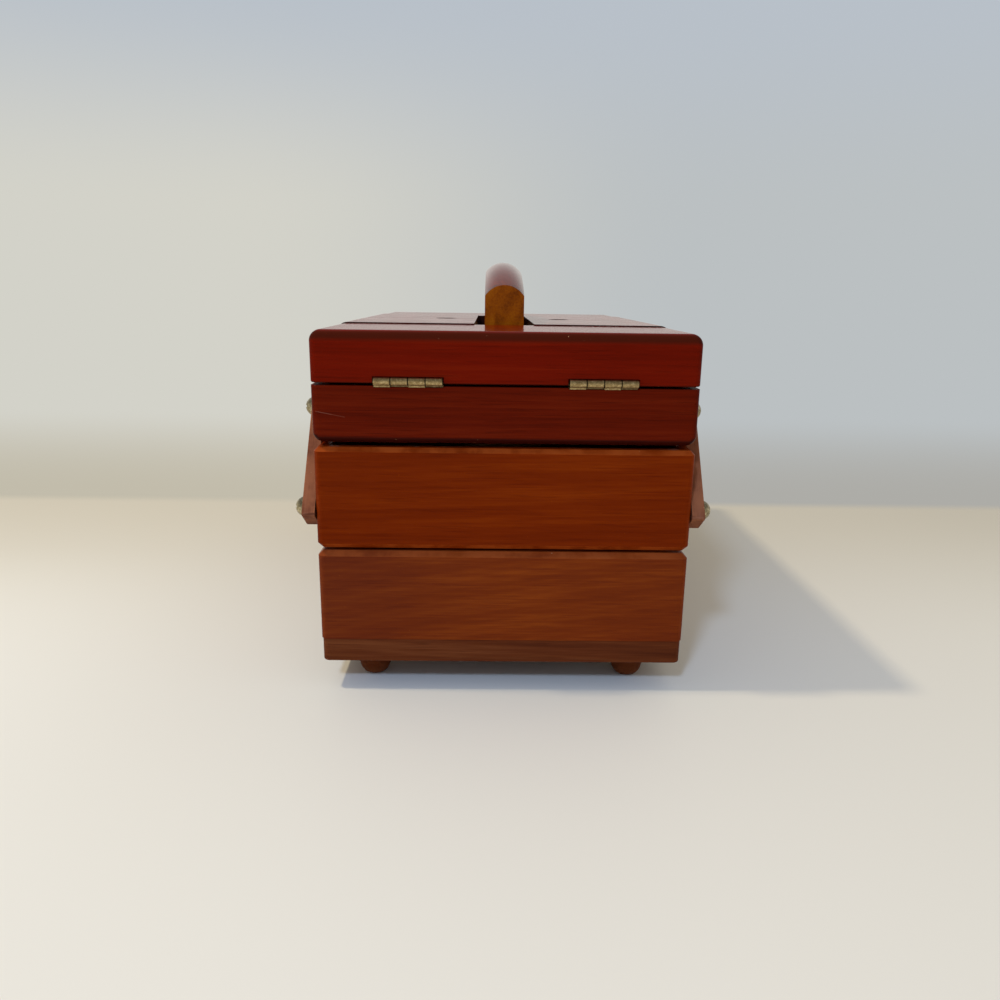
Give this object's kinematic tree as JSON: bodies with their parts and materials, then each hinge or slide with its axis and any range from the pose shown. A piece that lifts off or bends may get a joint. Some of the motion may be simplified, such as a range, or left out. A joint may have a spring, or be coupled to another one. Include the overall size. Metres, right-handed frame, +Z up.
{
  "type": "sewing carrier with two lids",
  "caption": "Three-tier wooden sewing carrier: a base, an arched handle on a centre board, and two halves with trays and hinged lids that spread apart on parallel arms.",
  "frame": {"origin": "at floor level under the middle of the box", "axes": "+Z up, +Y along the box from the front end to the back end, +X across it to the right as seen from the front end"},
  "size_m": [0.2408, 0.378, 0.2528],
  "materials": {
    "top_wood": "dark red-brown stain under glossy varnish",
    "middle_wood": "red-brown stain under glossy varnish",
    "base_wood": "brown stain under glossy varnish",
    "plinth_wood": "dark figured wood, varnished",
    "inner_wood": "plain wood, thin clear varnish",
    "handle_wood": "red-brown stain under glossy varnish",
    "arm_wood": "dull pinkish brown wood, satin",
    "hinge_brass": "aged brass",
    "screw_brass": "aged brass, domed heads"
  },
  "bodies": {
    "base": {"base_back_end": "base_wood", "base_front_end": "base_wood", "base_left_side": "base_wood", "base_pivot_screws": "screw_brass", "base_right_side": "base_wood", "bottom_board": "plinth_wood", "centre_board": "inner_wood", "feet": "plinth_wood", "handle": "handle_wood", "handle_dowels": "inner_wood"},
    "front_long_arms": {"front_long_arm_left": "arm_wood", "front_long_arm_right": "arm_wood"},
    "front_lower_arms": {"front_lower_arm_left": "arm_wood", "front_lower_arm_right": "arm_wood"},
    "front_upper_arms": {"front_upper_arm_left": "arm_wood", "front_upper_arm_right": "arm_wood"},
    "front_middle_tray": {"front_middle_floor": "inner_wood", "front_middle_outer_walls": "middle_wood", "front_middle_pivot_screws": "screw_brass", "front_middle_slot_walls": "inner_wood"},
    "front_top_tray": {"front_top_floor": "inner_wood", "front_top_outer_walls": "top_wood", "front_top_pivot_screws": "screw_brass", "front_top_slot_walls": "inner_wood", "front_hinge_tray_leaves": "hinge_brass", "front_hinge_pins": "hinge_brass"},
    "front_lid": {"front_lid_leaves": "top_wood", "front_lid_outer_rim": "top_wood", "front_lid_panel": "top_wood", "front_lid_slot_rim": "inner_wood", "front_hinge_lid_leaves": "hinge_brass"},
    "back_long_arms": {"back_long_arm_left": "arm_wood", "back_long_arm_right": "arm_wood"},
    "back_lower_arms": {"back_lower_arm_left": "arm_wood", "back_lower_arm_right": "arm_wood"},
    "back_upper_arms": {"back_upper_arm_left": "arm_wood", "back_upper_arm_right": "arm_wood"},
    "back_middle_tray": {"back_middle_floor": "inner_wood", "back_middle_outer_walls": "middle_wood", "back_middle_pivot_screws": "screw_brass", "back_middle_slot_walls": "inner_wood"},
    "back_top_tray": {"back_top_floor": "inner_wood", "back_top_outer_walls": "top_wood", "back_top_pivot_screws": "screw_brass", "back_top_slot_walls": "inner_wood", "back_hinge_tray_leaves": "hinge_brass", "back_hinge_pins": "hinge_brass"},
    "back_lid": {"back_lid_leaves": "top_wood", "back_lid_outer_rim": "top_wood", "back_lid_panel": "top_wood", "back_lid_slot_rim": "inner_wood", "back_hinge_lid_leaves": "hinge_brass"}
  },
  "joints": [
    {"name": "front_spread", "type": "hinge", "parent": "base", "child": "front_long_arms", "pos_m": [0, -0.106, 0.0573], "axis": [1, 0, 0], "range_deg": [0, 70.56]},
    {"name": "front_middle_level", "type": "hinge", "parent": "front_long_arms", "child": "front_middle_tray", "pos_m": [0, -0.0685, 0.1103], "axis": [1, 0, 0], "range_deg": [-70.56, 0]},
    {"name": "front_top_level", "type": "hinge", "parent": "front_long_arms", "child": "front_top_tray", "pos_m": [0, -0.031, 0.1633], "axis": [1, 0, 0], "range_deg": [-70.56, 0]},
    {"name": "front_lower_arm_swing", "type": "hinge", "parent": "base", "child": "front_lower_arms", "pos_m": [0, -0.061, 0.0573], "axis": [1, 0, 0], "range_deg": [0, 70.56]},
    {"name": "front_upper_arm_swing", "type": "hinge", "parent": "front_middle_tray", "child": "front_upper_arms", "pos_m": [0, -0.1747, 0.1103], "axis": [1, 0, 0], "range_deg": [0, 70.56]},
    {"name": "front_lid_hinge", "type": "hinge", "parent": "front_top_tray", "child": "front_lid", "pos_m": [0, -0.1868, 0.1842], "axis": [1, 0, 0], "range_deg": [0, 180]},
    {"name": "back_spread", "type": "hinge", "parent": "base", "child": "back_long_arms", "pos_m": [0, 0.106, 0.0573], "axis": [-1, 0, 0], "range_deg": [0, 70.56]},
    {"name": "back_middle_level", "type": "hinge", "parent": "back_long_arms", "child": "back_middle_tray", "pos_m": [0, 0.0685, 0.1103], "axis": [-1, 0, 0], "range_deg": [-70.56, 0]},
    {"name": "back_top_level", "type": "hinge", "parent": "back_long_arms", "child": "back_top_tray", "pos_m": [0, 0.031, 0.1633], "axis": [-1, 0, 0], "range_deg": [-70.56, 0]},
    {"name": "back_lower_arm_swing", "type": "hinge", "parent": "base", "child": "back_lower_arms", "pos_m": [0, 0.061, 0.0573], "axis": [-1, 0, 0], "range_deg": [0, 70.56]},
    {"name": "back_upper_arm_swing", "type": "hinge", "parent": "back_middle_tray", "child": "back_upper_arms", "pos_m": [0, 0.1747, 0.1103], "axis": [-1, 0, 0], "range_deg": [0, 70.56]},
    {"name": "back_lid_hinge", "type": "hinge", "parent": "back_top_tray", "child": "back_lid", "pos_m": [0, 0.1868, 0.1842], "axis": [-1, 0, 0], "range_deg": [0, 180]}
  ],
  "couplings": [
    {"joint": "front_middle_level", "follows": "front_spread", "ratio": -1},
    {"joint": "front_top_level", "follows": "front_spread", "ratio": -1},
    {"joint": "front_lower_arm_swing", "follows": "front_spread", "ratio": 1},
    {"joint": "front_upper_arm_swing", "follows": "front_spread", "ratio": 1},
    {"joint": "back_middle_level", "follows": "back_spread", "ratio": -1},
    {"joint": "back_top_level", "follows": "back_spread", "ratio": -1},
    {"joint": "back_lower_arm_swing", "follows": "back_spread", "ratio": 1},
    {"joint": "back_upper_arm_swing", "follows": "back_spread", "ratio": 1}
  ]
}
